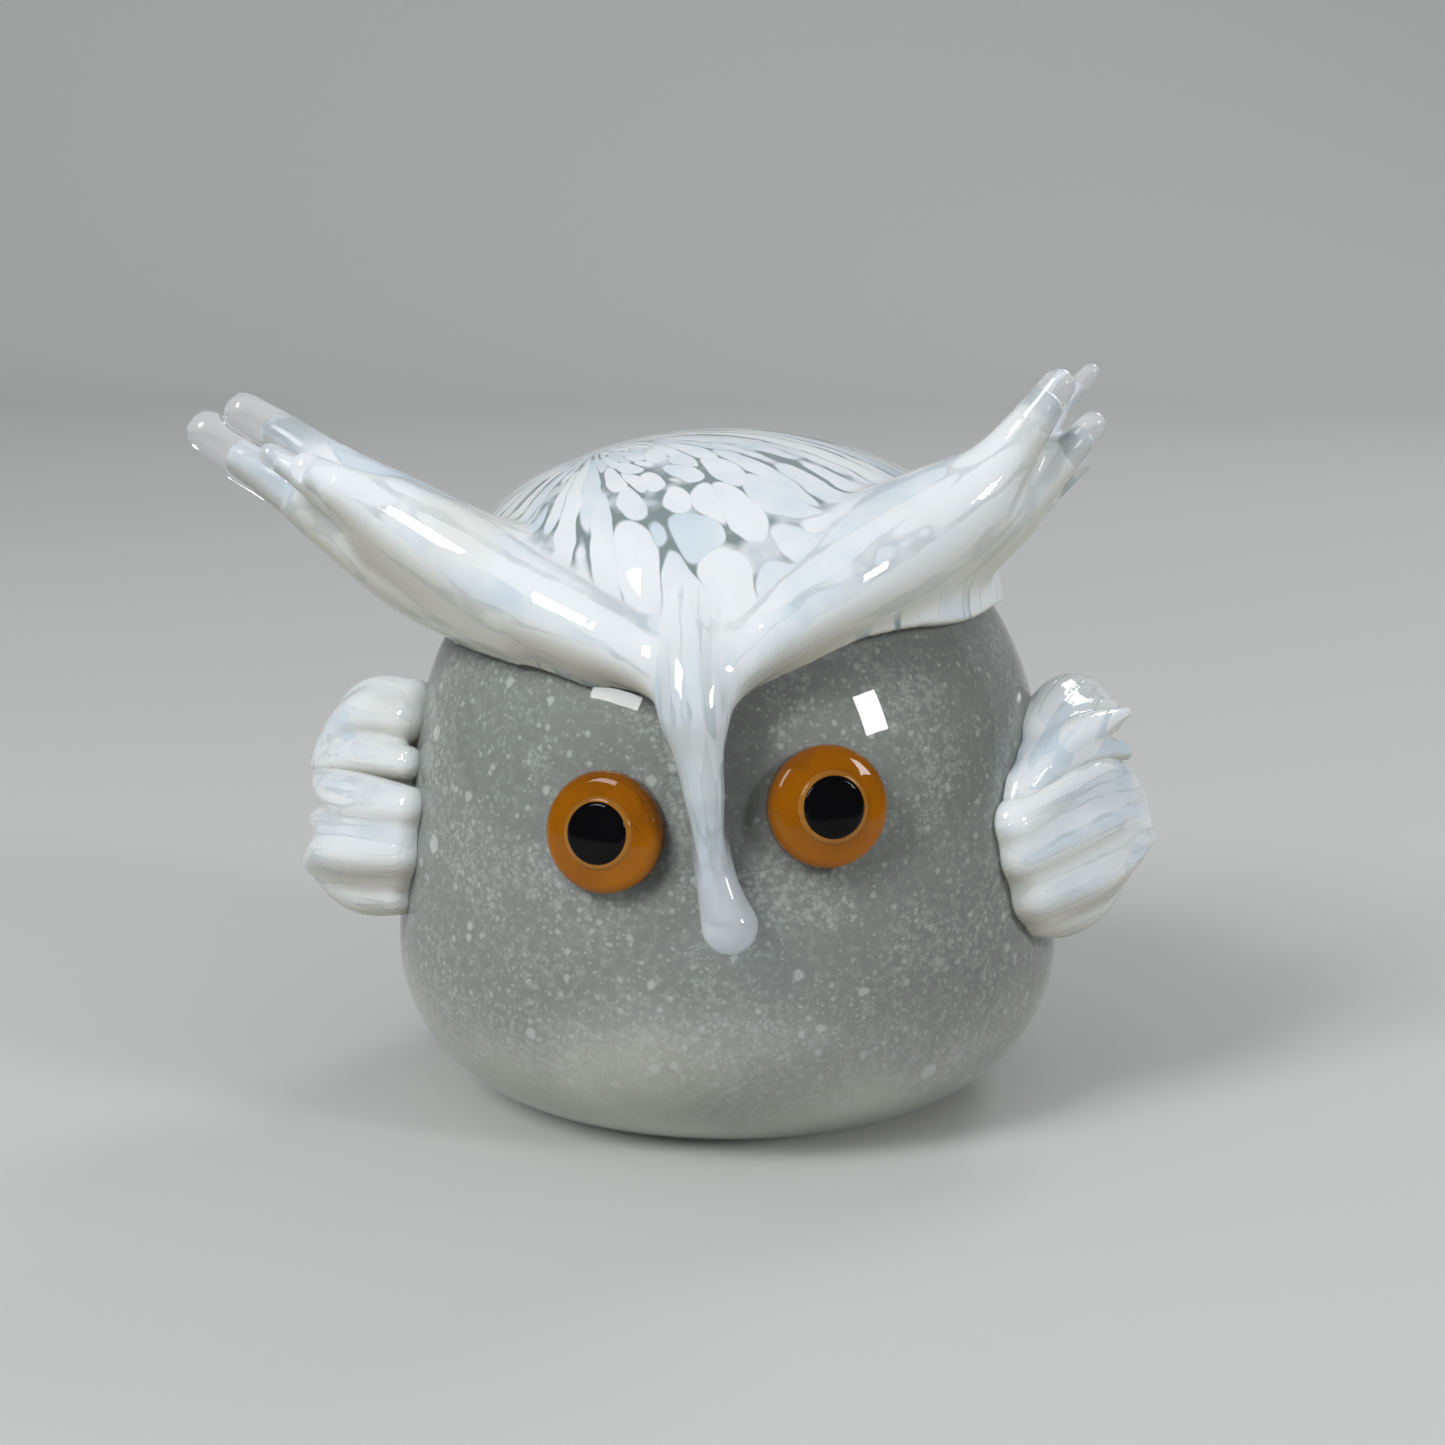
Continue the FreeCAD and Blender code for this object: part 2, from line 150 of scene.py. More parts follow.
class Nodes:
    """Adds nodes to a material or group and links them by their sockets' names."""

    def __init__(self, tree):
        self.tree = tree

    def add(self, kind, settings=None, **inputs):
        node = self.tree.nodes.new(kind)
        for key, value in (settings or {}).items():
            setattr(node, key, value)
        for name, value in inputs.items():
            self.feed(node, name.replace("_", " "), value)
        return node

    def feed(self, node, name, value):
        socket = node.inputs[int(name)] if name.isdigit() else node.inputs[name]
        if isinstance(value, bpy.types.NodeSocket):
            self.tree.links.new(value, socket)
        else:
            socket.default_value = value

    def maths(self, operation, first, second=0.0, clamp=False):
        node = self.tree.nodes.new("ShaderNodeMath")
        node.operation = operation
        node.use_clamp = clamp
        self.feed(node, "0", first)
        self.feed(node, "1", second)
        return node.outputs[0]

    def spread(self, value, low, high, to_low=0.0, to_high=1.0, smooth=True):
        """value from low..high to to_low..to_high, held at the ends."""
        kind = "SMOOTHSTEP" if smooth else "LINEAR"
        node = self.add("ShaderNodeMapRange", {"interpolation_type": kind, "clamp": True})
        ends = {"From Min": low, "From Max": high, "To Min": to_low, "To Max": to_high}
        for name, number in ends.items():
            self.feed(node, name, number)
        self.feed(node, "Value", value)
        return node.outputs["Result"]

    def mix(self, share, first, second):
        node = self.add("ShaderNodeMix", {"data_type": "RGBA"})
        self.feed(node, "0", share)
        self.feed(node, "6", first)
        self.feed(node, "7", second)
        return node.outputs[2]

    def vectors(self, operation, first, second):
        node = self.add("ShaderNodeVectorMath", {"operation": operation})
        self.feed(node, "0", first)
        self.feed(node, "1", second)
        return node.outputs[0]

    def scaled(self, vector, scale):
        node = self.add("ShaderNodeVectorMath", {"operation": "SCALE"}, Vector=vector, Scale=scale)
        return node.outputs[0]

    def noise(self, vector, scale, detail=2.0, roughness=0.5):
        node = self.add("ShaderNodeTexNoise", Vector=vector, Scale=scale, Detail=detail)
        node.inputs["Roughness"].default_value = roughness
        return node.outputs["Fac"]

    def stored(self, name):
        """A vector that was stored for each vertex."""
        return self.add("ShaderNodeAttribute", {"attribute_name": name}).outputs["Vector"]

    def upward(self):
        """How far up the surface faces, from -1 to 1."""
        normal = self.add("ShaderNodeNewGeometry").outputs["Normal"]
        return self.add("ShaderNodeSeparateXYZ", Vector=normal).outputs[2]


def new_material(name):
    """A material's tree with its Principled shader, ready to fill."""
    material = bpy.data.materials.new(name)
    material.use_nodes = True
    nodes = Nodes(material.node_tree)
    return material, nodes, material.node_tree.nodes["Principled BSDF"]


SMOKE_TOP = (0.280, 0.295, 0.285, 1)
SMOKE_MIDDLE = (0.285, 0.298, 0.286, 1)
FOOT_FRIT_AND_BOUNCE = (0.74, 0.74, 0.67, 1)
FLECK_WHITE = (0.80, 0.83, 0.815, 1)
RAGGED_EDGE = 0.8 * MM
# (size of a cell in mm, share kept where thin, share kept where crowded, reach, softness, strength)
FLECKS = (
    (5.2, 0.10, 0.16, 0.20, 0.10, 0.62),
    (2.6, 0.16, 0.34, 0.22, 0.16, 0.50),
    (1.3, 0.24, 0.62, 0.20, 0.30, 0.42),
    (0.7, 0.26, 0.75, 0.20, 0.40, 0.30),
)


def flecked_glass():
    """Smoke-grey glass with soft white flecks of several sizes, crowded in clouds and by the foot, and
    lighter and warmer towards the foot, partly from the frit and partly painted bounce light.
    """
    material, nodes, shader = new_material("flecked_glass")
    place = nodes.add("ShaderNodeTexCoord").outputs["Object"]
    height = nodes.add("ShaderNodeSeparateXYZ", Vector=place).outputs["Z"]
    swell = nodes.noise(place, 42, 2)
    level = nodes.maths("ADD", height, nodes.maths("MULTIPLY", swell, 0.022))
    # lighter and warmer towards the foot: partly the crowded frit, partly painted bounce light from below
    low_half = nodes.spread(level, 0.012, 0.037)
    high_half = nodes.spread(level, 0.044, 0.085)
    body = nodes.mix(high_half, nodes.mix(low_half, FOOT_FRIT_AND_BOUNCE, SMOKE_MIDDLE), SMOKE_TOP)
    clouds = nodes.spread(nodes.noise(place, 85, 3), 0.40, 0.66)
    crowd = nodes.maths("MAXIMUM", nodes.spread(level, 0.018, 0.045, 1.0, 0.0), clouds)

    ragged = nodes.add("ShaderNodeTexNoise", Vector=place, Scale=1100.0, Detail=3.0).outputs["Color"]
    torn = nodes.vectors("ADD", place, nodes.scaled(ragged, RAGGED_EDGE))

    grain = nodes.spread(nodes.noise(place, 900, 5, 0.65), 0.42, 0.80)
    cover = nodes.maths("MULTIPLY", grain, nodes.spread(crowd, 0.0, 1.0, 0.18, 0.55))
    for cell, thin, thick, reach, soft, strength in FLECKS:
        cells = nodes.add("ShaderNodeTexVoronoi", Vector=torn, Scale=1 / (cell * MM))
        chance = nodes.add("ShaderNodeSeparateColor", Color=cells.outputs["Color"])
        kept = nodes.maths("LESS_THAN", chance.outputs[0], nodes.spread(crowd, 0.0, 1.0, thin, thick))
        wide = nodes.maths("MULTIPLY", chance.outputs[1], reach)
        inside = nodes.maths("SUBTRACT", nodes.maths("ADD", wide, soft), cells.outputs["Distance"])
        dot = nodes.maths("MULTIPLY", nodes.spread(inside, 0.0, soft), kept)
        cover = nodes.maths("MAXIMUM", cover, nodes.maths("MULTIPLY", dot, strength))
    nodes.feed(shader, "Base Color", nodes.mix(cover, body, FLECK_WHITE))
    shader.inputs["Roughness"].default_value = 0.4
    shader.inputs["Specular IOR Level"].default_value = 0.1
    shader.inputs["Subsurface Weight"].default_value = 0.2
    shader.inputs["Subsurface Radius"].default_value = (1.0, 1.0, 1.0)
    shader.inputs["Subsurface Scale"].default_value = 0.6 * MM
    return material


flecked_bubble = spun("flecked_bubble", bubble_profile(CASING_WALL))
apply_modifier(flecked_bubble, "SOLIDIFY", thickness=FLECK_WALL, offset=-1)
finished(flecked_bubble, flecked_glass(), "flecked_glass", "fleck_bubble")


# ---------------------------------------------------------------- clear casing
# A skin of clear glass gathered over the flecked bubble. Fire polish leaves it sharp and bright,
# so the lamps mirror in it while the flecks lie a little way below.

CASING_GRIP = 0.15 * MM         # how far each bit's hidden side sinks into the glass that it grips
RIPPLE_DEPTH = 0.4 * MM


def clear_glass(name, tint, ripple=0.0, clearness=1.0, fading=False):
    """Clear or milky glass that lets lamps through to what it covers, and may fade in by melt."""
    material, nodes, shader = new_material(name)
    shader.inputs["Base Color"].default_value = tint
    shader.inputs["Transmission Weight"].default_value = clearness
    shader.inputs["Roughness"].default_value = 0.0
    shader.inputs["IOR"].default_value = 1.5
    if ripple:
        waves = nodes.noise(nodes.add("ShaderNodeTexCoord").outputs["Object"], 60, 2)
        bump = nodes.add("ShaderNodeBump", Height=waves, Strength=ripple, Distance=RIPPLE_DEPTH)
        nodes.feed(shader, "Normal", bump.outputs[0])
    if fading:
        milky = nodes.add("ShaderNodeSeparateXYZ", Vector=nodes.stored("melt")).outputs[2]
        nodes.feed(shader, "Alpha", milky)
    lamp = nodes.add("ShaderNodeLightPath").outputs["Is Shadow Ray"]
    through = nodes.add("ShaderNodeBsdfTransparent", Color=tint).outputs[0]
    blend = nodes.add("ShaderNodeMixShader")
    nodes.feed(blend, "0", lamp)
    nodes.feed(blend, "1", shader.outputs[0])
    nodes.feed(blend, "2", through)
    nodes.feed(material.node_tree.nodes["Material Output"], "Surface", blend.outputs[0])
    return material


casing_glass = clear_glass("casing_glass", (0.93, 0.95, 0.94, 1), 0.12)
bubble_casing = spun("bubble_casing", bubble_profile(0))
apply_modifier(bubble_casing, "SOLIDIFY", thickness=CASING_WALL + CASING_GRIP, offset=-1)
finished(bubble_casing, casing_glass, "clear_glass", "clear_casing")


# ---------------------------------------------------------------- base button
# A drop of clear glass that closes the hole where the blowpipe came off, ground flat underneath
# so that the owl stands steady.

BUTTON_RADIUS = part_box("base_button")[1].x
BUTTON_EDGE = 0.25 * MM

button_profile = [
    (0, 0),
    (BUTTON_RADIUS - BUTTON_EDGE, 0),
    (BUTTON_RADIUS, BUTTON_EDGE),
    (BUTTON_RADIUS, DIMPLE_DEPTH),
    (BUTTON_RADIUS * 0.6, DIMPLE_DEPTH + CASING_GRIP),
    (0, DIMPLE_DEPTH + CASING_GRIP),
]
base_button = spun("base_button_drop", button_profile, 64)
apply_modifier(base_button, "BEVEL", width=BUTTON_EDGE, segments=3, limit_method="ANGLE")
ground_glass = clear_glass("ground_glass", (0.9, 0.92, 0.91, 1))
finished(base_button, ground_glass, "clear_glass", "base_button")


# ---------------------------------------------------------------- white gather: cap, tufts and beak
# White glass gathered over the top and combed outwards from the shear mark: soft-edged white
# cells with thin grey seams between. Both tufts and the beak were pulled out of the same hot
# gather, so all of it is one bit.

CAP_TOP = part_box("white_cap")[1].z
CAP_RIM = 0.80
CROWN_ARC = 56 * MM
CROWN_TURN = math.radians(27)
SHOULDER_ARC = 22 * MM
SHOULDER_END = math.radians(13)

# every strand is a run of (azimuth, share of the height, distance off the skin, radius), in mm
BEAK = [
    (-4.5, 0.750, 5.0, 3.4),
    (-4.0, 0.700, 5.0, 3.3),
    (-2.5, 0.630, 3.8, 2.9),
    (-1.5, 0.560, 2.4, 2.4),
    (-0.8, 0.500, 1.8, 2.3),
    (0.6, 0.440, 2.0, 2.6),
    (2.2, 0.395, 2.3, 3.5),
]
BROW_LEFT = [
    [
        (-7.0, 0.725, 2.2, 2.9),
        (-12.5, 0.745, 2.8, 3.5),
        (-21.0, 0.770, 3.5, 4.3),
        (-33.0, 0.790, 4.4, 4.9),
        (-46.0, 0.805, 6.3, 5.0),
        (-60.0, 0.816, 12.2, 4.6),
        (-66.5, 0.812, 18.6, 3.6),
        (-69.0, 0.807, 25.5, 2.6),
        (-70.5, 0.805, 28.8, 2.0),
    ],
    [
        (-49.5, 0.845, 4.1, 3.1),
        (-68.0, 0.840, 8.7, 3.6),
        (-75.5, 0.829, 15.7, 3.4),
        (-78.5, 0.818, 23.2, 2.9),
        (-81.0, 0.814, 30.9, 2.6),
        (-83.0, 0.807, 38.0, 2.6),
    ],
    [
        (-63.0, 0.812, 11.3, 2.8),
        (-71.0, 0.803, 19.8, 2.6),
        (-74.5, 0.799, 26.8, 1.8),
        (-75.5, 0.798, 32.5, 1.6),
    ],
    [
        (-42.0, 0.771, 2.2, 2.8),
        (-65.0, 0.776, 5.0, 3.7),
        (-76.5, 0.775, 13.1, 3.7),
        (-80.5, 0.780, 22.7, 3.2),
        (-82.5, 0.782, 32.3, 2.9),
        (-84.0, 0.782, 40.4, 2.8),
    ],
    [
        (-67.0, 0.770, 2.0, 2.3),
        (-79.0, 0.755, 7.5, 2.5),
        (-85.5, 0.757, 14.5, 2.4),
        (-87.0, 0.764, 20.9, 2.0),
        (-87.5, 0.765, 28.1, 1.3),
        (-87.5, 0.763, 35.1, 0.9),
    ],
]
BROW_RIGHT = [
    [
        (1.0, 0.725, 2.4, 2.6),
        (6.5, 0.760, 3.2, 3.3),
        (16.0, 0.800, 4.2, 4.4),
        (28.0, 0.830, 4.6, 5.2),
        (42.0, 0.856, 5.8, 5.5),
        (57.5, 0.867, 9.9, 4.8),
        (64.5, 0.874, 16.3, 3.6),
        (67.5, 0.879, 22.1, 2.9),
        (69.5, 0.883, 28.0, 2.2),
    ],
    [
        (32.0, 0.834, 1.9, 3.1),
        (54.0, 0.851, 3.5, 3.7),
        (68.0, 0.848, 9.0, 3.6),
        (73.5, 0.848, 16.6, 2.8),
        (77.0, 0.853, 26.1, 1.8),
    ],
    [
        (50.0, 0.835, 1.4, 2.4),
        (68.5, 0.835, 3.4, 2.7),
        (78.0, 0.836, 10.6, 1.9),
        (81.5, 0.836, 21.0, 0.9),
    ],
    [
        (65.0, 0.868, 8.5, 2.4),
        (79.0, 0.876, 20.6, 1.8),
        (83.0, 0.877, 30.1, 1.2),
    ],
    [
        (29.0, 0.884, 4.0, 2.9),
        (47.0, 0.896, 5.3, 3.8),
        (63.0, 0.891, 7.6, 3.9),
        (70.5, 0.884, 13.1, 3.1),
    ],
]


def centre_line(points, samples=48):
    """Places and radii along a strand, on the smooth line that its points steer, in metres."""
    control = np.array([
        list(skin(azimuth, level, lift * MM)) + [radius * MM] for azimuth, level, lift, radius in points
    ])
    padded = np.vstack([control[:1], control[:1], control, control[-1:], control[-1:]])
    spans = len(padded) - 3
    rows = []
    for step in np.linspace(0, spans - 1e-6, samples):
        first, t = int(step), step - int(step)
        pulls = [(1 - t) ** 3, 3 * t ** 3 - 6 * t ** 2 + 4, 1 + 3 * t + 3 * t ** 2 - 3 * t ** 3, t ** 3]
        rows.append(np.array(pulls) / 6 @ padded[first:first + 4])
    return np.array(rows)


def foot_on(points, line):
    """The foot of each point on a strand: its stretch, share of it, the way over and the gap."""
    places, radii = line[:, :3], line[:, 3]
    steps = np.diff(places, axis=0)
    nearest = (np.linalg.norm(points[:, None] - places, axis=2) - radii).argmin(1)
    found = []
    for side in (-1, 0):
        first = np.clip(nearest + side, 0, len(steps) - 1)
        share = ((points - places[first]) * steps[first]).sum(1) / (steps[first] ** 2).sum(1)
        share = np.clip(share, 0, 1)
        away = points - places[first] - steps[first] * share[:, None]
        gap = np.linalg.norm(away, axis=1) - radii[first] * (1 - share) - radii[first + 1] * share
        found.append((first, share, away, gap))
    before = found[0][3] < found[1][3]
    return [np.where(before[:, None] if a.ndim == 2 else before, a, b) for a, b in zip(*found)]


def run_of(line):
    """Distance along a strand at each of its places."""
    return np.concatenate([[0], np.cumsum(np.linalg.norm(np.diff(line[:, :3], axis=0), axis=1))])


def near_strand(points, line):
    """How far points lie outside a strand, the way out of it, and how far along it they are."""
    first, share, away, gap = foot_on(points, line)
    run = run_of(line)
    out = away / np.maximum(np.linalg.norm(away, axis=1), 1e-9)[:, None]
    return gap, out, run[first] * (1 - share) + run[first + 1] * share


def along_strand(points, line, across, length):
    """Where points lie by a strand's own axes, measured in threads across and along."""
    places = line[:, :3]
    ways = np.gradient(places, axis=0)
    ways /= np.linalg.norm(ways, axis=1)[:, None]
    outs = places - np.array([0, 0, BUBBLE_HEIGHT / 2])
    outs -= ways * (outs * ways).sum(1)[:, None]
    outs /= np.linalg.norm(outs, axis=1)[:, None]
    axes = np.stack([np.cross(ways, outs), outs, ways], 1)
    first, share, away, _ = foot_on(points, line)
    run = run_of(line)
    turned = axes[first] * (1 - share)[:, None, None] + axes[first + 1] * share[:, None, None]
    local = (turned * away[:, None, :]).sum(2)
    local[:, 2] += run[first] * (1 - share) + run[first + 1] * share
    return local / np.array([across, across, length])


def near_all(points, lines):
    return [np.array(rows) for rows in zip(*(near_strand(points, line) for line in lines))]


def smooth_union(gaps, outs, blend):
    """One surface for several that have melted together, and the way out of it."""
    nearest = gaps.min(0)
    weights = np.exp((nearest - gaps) / blend)
    total = weights.sum(0)
    return nearest - blend * np.log(total), (weights[:, :, None] * outs).sum(0) / total[:, None]


def vertices(piece):
    flat = np.empty(len(piece.data.vertices) * 3)
    piece.data.vertices.foreach_get("co", flat)
    return flat.reshape(-1, 3)


def place_vertices(piece, points):
    piece.data.vertices.foreach_set("co", points.ravel())
    piece.data.update()


def blurred(piece, values, times):
    """Evens out a value over a piece's skin, each vertex with its neighbours."""
    pairs = np.empty(len(piece.data.edges) * 2, dtype=np.int32)
    piece.data.edges.foreach_get("vertices", pairs)
    first, second = pairs.reshape(-1, 2).T
    count = np.bincount(pairs, minlength=len(values)) + 1.0
    for _ in range(times):
        total = values + np.bincount(first, values[second], len(values))
        values = (total + np.bincount(second, values[first], len(values))) / count
    return values


def store(piece, name, values):
    """Keeps a vector for each vertex, for the glass's pattern to read."""
    attribute = piece.data.attributes.new(name, "FLOAT_VECTOR", "POINT")
    attribute.data.foreach_set("vector", np.ascontiguousarray(values, np.float32).ravel())


# places on the cap rolled out flat, in mm: real part to the right, imaginary part to the back
SHEAR_MARK = -16 - 1j
PULLS = ((-66 - 18j, 0.5), (58 - 20j, 0.55), (2 - 84j, 0.45))    # tufts and beak, with strengths
FRONT = -1 - 26j
CELL = 0.088                # width of a streak, in radians round the shear mark


def flow_from_shears(flat):
    """Potential and stream of the white glass, from the shear mark to the tufts and the beak."""
    flow = np.log(flat - SHEAR_MARK + 1e-6)
    for pull, strength in PULLS:
        flow = flow - strength * np.log(1 - flat / pull)
    return flow.real, flow.imag


def combed(points):
    """Where each point lies in the combed glass of the cap, measured in streaks and cells."""
    from_centre = points - np.array([0, 0, dome_centre.y])
    reach = np.hypot(from_centre[:, 0], from_centre[:, 1])
    slide = np.arctan2(reach, np.maximum(from_centre[:, 2], 1e-6)) * dome_arc / MM
    slide = slide + np.maximum(-from_centre[:, 2], 0) / MM
    flat = slide * (from_centre[:, 0] + 1j * from_centre[:, 1]) / np.maximum(reach, 1e-9)
    run, stream = flow_from_shears(flat)
    front_run, front_stream = flow_from_shears(np.array([FRONT]))
    turn = stream - front_stream
    # in front the streaks are wide and break into short lobes, elsewhere they run on
    streak = turn - 0.5 * np.sin(turn)
    long = 0.42 + 2.9 * np.exp((np.cos(turn) - 1) / 0.10)
    return np.stack([np.cos(streak) / CELL, np.sin(streak) / CELL, (run - front_run) * long], 1)


def cap_profile():
    """Half section of the cap: down the outside, round the rim and up inside the hidden face."""
    crown_centre = Vector((0, CAP_TOP - CROWN_ARC))
    shoulder_centre = on_arc(crown_centre, CROWN_ARC - SHOULDER_ARC, math.pi / 2 - CROWN_TURN)
    rim_tilt = math.asin((CAP_RIM * BUBBLE_HEIGHT - dome_centre.y) / dome_arc)
    crown_end = math.pi / 2 - CROWN_TURN
    points = [on_arc(crown_centre, CROWN_ARC, a) for a in np.linspace(math.pi / 2, crown_end, 40)]
    points += [on_arc(shoulder_centre, SHOULDER_ARC, a) for a in np.linspace(crown_end, SHOULDER_END, 40)[1:]]
    rim_centre = (points[-1] + on_arc(dome_centre, dome_arc, rim_tilt)) / 2
    rim_radius = (points[-1] - rim_centre).length
    round_rim = np.linspace(SHOULDER_END, rim_tilt - math.pi, 12)[1:-1]
    points += [on_arc(rim_centre, rim_radius, a) for a in round_rim]
    hidden_face = np.linspace(rim_tilt, math.pi / 2, 40)
    points += [on_arc(dome_centre, dome_arc - CASING_GRIP, a) for a in hidden_face]
    return [tuple(point) for point in points]


SEAM_EDGE = 0.120               # how hard cells press on each other where a seam starts,
SEAM_MIDDLE = 0.166             # and where it is at its darkest
LESS_ALONG = (1.0, 1.0, 0.25)   # streaks wander sideways more than along


def seam_lines():
    """Soft-edged cells with thin seams between them, wider where the noise says so."""
    group = bpy.data.node_groups.new("seam_lines", "ShaderNodeTree")
    for label, side, kind in (
        ("Flow", "INPUT", "Vector"),
        ("Thin", "INPUT", "Float"),
        ("Thick", "INPUT", "Float"),
        ("Wander", "INPUT", "Float"),
        ("Line", "OUTPUT", "Float"),
        ("Tone", "OUTPUT", "Float"),
    ):
        group.interface.new_socket(label, in_out=side, socket_type=f"NodeSocket{kind}")
    nodes = Nodes(group)
    flow, thin, thick, wander = nodes.add("NodeGroupInput").outputs[:4]
    result = nodes.add("NodeGroupOutput")
    place = nodes.add("ShaderNodeTexCoord").outputs["Object"]
    stray = nodes.add("ShaderNodeTexNoise", Vector=place, Scale=170.0, Detail=1.0).outputs["Color"]
    shift = nodes.scaled(nodes.vectors("MULTIPLY", stray, LESS_ALONG), wander)
    at = nodes.vectors("ADD", flow, shift)
    cell = nodes.add("ShaderNodeTexVoronoi", Vector=at, Scale=1.0)
    # where cells press on each other the smooth distance falls short, most of all at their corners
    eased = nodes.add("ShaderNodeTexVoronoi", {"feature": "SMOOTH_F1"}, Vector=at, Scale=1.0)
    eased.inputs["Smoothness"].default_value = 1.0
    pressed = nodes.maths("SUBTRACT", cell.outputs["Distance"], eased.outputs["Distance"])
    where = nodes.spread(nodes.noise(place, 150, 2), 0.50, 0.78)
    width = nodes.maths("MULTIPLY_ADD", where, nodes.maths("SUBTRACT", thick, thin))
    nodes.feed(width.node, "2", thin)
    line = nodes.spread(nodes.maths("ADD", pressed, width), SEAM_EDGE, SEAM_MIDDLE)
    faint = nodes.spread(nodes.noise(place, 170, 2), 0.36, 0.54, 0.25, 1.0)
    nodes.feed(result, "Line", nodes.maths("MULTIPLY", line, faint))
    tone = nodes.add("ShaderNodeSeparateColor", Color=cell.outputs["Color"]).outputs[0]
    nodes.feed(result, "Tone", tone)
    return group


seams = seam_lines()
WHITE = (0.775, 0.81, 0.825, 1)
BLUE = (0.54, 0.64, 0.72, 1)
THIN_WHITE = (0.44, 0.50, 0.52, 1)
CREAM = (0.66, 0.66, 0.60, 1)
PAINTED_UNDERSIDE_SHADE = (0.49, 0.47, 0.385, 1)
SEAM = (0.235, 0.285, 0.285, 1)


def opal_white(name, drawn_line, groove=0.0, clear_to_tip=False):
    """Opal white glass: combed cells on the cap, long faint threads on all that was drawn out, and painted
    shade and warm bounce light on faces that point down.

    It reads what is stored for each vertex: swept and drawn say where it lies in the cells and in
    the threads, and melt says how far it is on the cap, how plain the threads are and how sheer
    the glass is.
    """
    material, nodes, shader = new_material(name)
    place = nodes.add("ShaderNodeTexCoord").outputs["Object"]
    on_cap, plain, to_tip = nodes.add("ShaderNodeSeparateXYZ", Vector=nodes.stored("melt")).outputs[:]
    lines = {"node_tree": seams}
    swept, drawn = nodes.stored("swept"), nodes.stored("drawn")
    cells = nodes.add("ShaderNodeGroup", lines, Flow=swept, Thin=0.0, Thick=0.022, Wander=0.45)
    threads = nodes.add("ShaderNodeGroup", lines, Flow=drawn, Thin=0.012, Thick=0.045, Wander=0.5)
    cap_line = nodes.maths("MULTIPLY", cells.outputs["Line"], on_cap)
    off_cap = nodes.maths("SUBTRACT", 1.0, on_cap)
    thread_share = nodes.maths("MULTIPLY", off_cap, nodes.maths("MULTIPLY", plain, drawn_line))
    thread_line = nodes.maths("MULTIPLY", threads.outputs["Line"], thread_share)
    line = nodes.maths("MAXIMUM", cap_line, thread_line)
    tone = nodes.mix(on_cap, threads.outputs["Tone"], cells.outputs["Tone"])
    cloud = nodes.noise(place, 75, 3)
    cool = nodes.maths("ADD", nodes.maths("MULTIPLY", tone, 0.35), cloud)
    bluish = nodes.spread(cool, 0.62, 1.0, 0.0, 0.85)
    warm = nodes.spread(nodes.noise(place, 48, 2), 0.52, 0.72, 0.0, 0.4)
    colour = nodes.mix(warm, nodes.mix(bluish, WHITE, BLUE), CREAM)
    # painted shade and warm bounce light: faces that point down are darker and warmer
    shade_beneath = nodes.spread(nodes.upward(), -0.70, 0.18, 0.88, 0.0)
    colour = nodes.mix(shade_beneath, colour, PAINTED_UNDERSIDE_SHADE)
    uneven = nodes.spread(tone, 0.0, 0.9, 1.0, 0.25)
    sheer = nodes.maths("MULTIPLY", nodes.spread(to_tip, 0.0, 0.5), uneven)
    colour = nodes.mix(sheer, colour, THIN_WHITE)
    nodes.feed(shader, "Base Color", nodes.mix(line, colour, SEAM))
    shader.inputs["Roughness"].default_value = 0.02
    shader.inputs["IOR"].default_value = 1.5
    shader.inputs["Subsurface Weight"].default_value = 0.35
    shader.inputs["Subsurface Radius"].default_value = (0.8, 1.0, 1.2)
    shader.inputs["Subsurface Scale"].default_value = 1.6 * MM
    if groove:
        height = nodes.maths("SUBTRACT", threads.outputs["Tone"], threads.outputs["Line"])
        bump = nodes.add("ShaderNodeBump", Height=height, Strength=groove, Distance=0.25 * MM)
        nodes.feed(shader, "Normal", bump.outputs[0])
    if clear_to_tip:
        wisps = nodes.maths("MULTIPLY", nodes.noise(place, 420, 3, 0.6), 0.5)
        nodes.feed(shader, "Alpha", nodes.spread(nodes.maths("ADD", to_tip, wisps), 0.85, 1.35, 1.0, 0.3))
    return material


def strand_mesh(name, line, grow):
    """One drawn strand as a round closed tube with rounded ends, grown all round."""
    curve = bpy.data.curves.new(name, "CURVE")
    curve.dimensions = "3D"
    curve.bevel_depth = 1.0
    curve.bevel_resolution = 4
    curve.use_fill_caps = True
    places, radii = line[:, :3], line[:, 3] + grow
    run = list(zip(places, radii))
    for end, before in ((0, 1), (-1, -2)):
        out = places[end] - places[before]
        out /= np.linalg.norm(out)
        rounded = [
            (places[end] + out * radii[end] * past, radii[end] * math.sqrt(max(1 - past ** 2, 0.003)))
            for past in (0.26, 0.5, 0.77, 0.94, 1.0)
        ]
        run = rounded[::-1] + run if end == 0 else run + rounded
    spline = curve.splines.new("POLY")
    spline.points.add(len(run) - 1)
    for point, (place, radius) in zip(spline.points, run):
        point.co = (*place, 1)
        point.radius = radius
    piece = bpy.data.objects.new(name, curve)
    bpy.context.collection.objects.link(piece)
    return piece


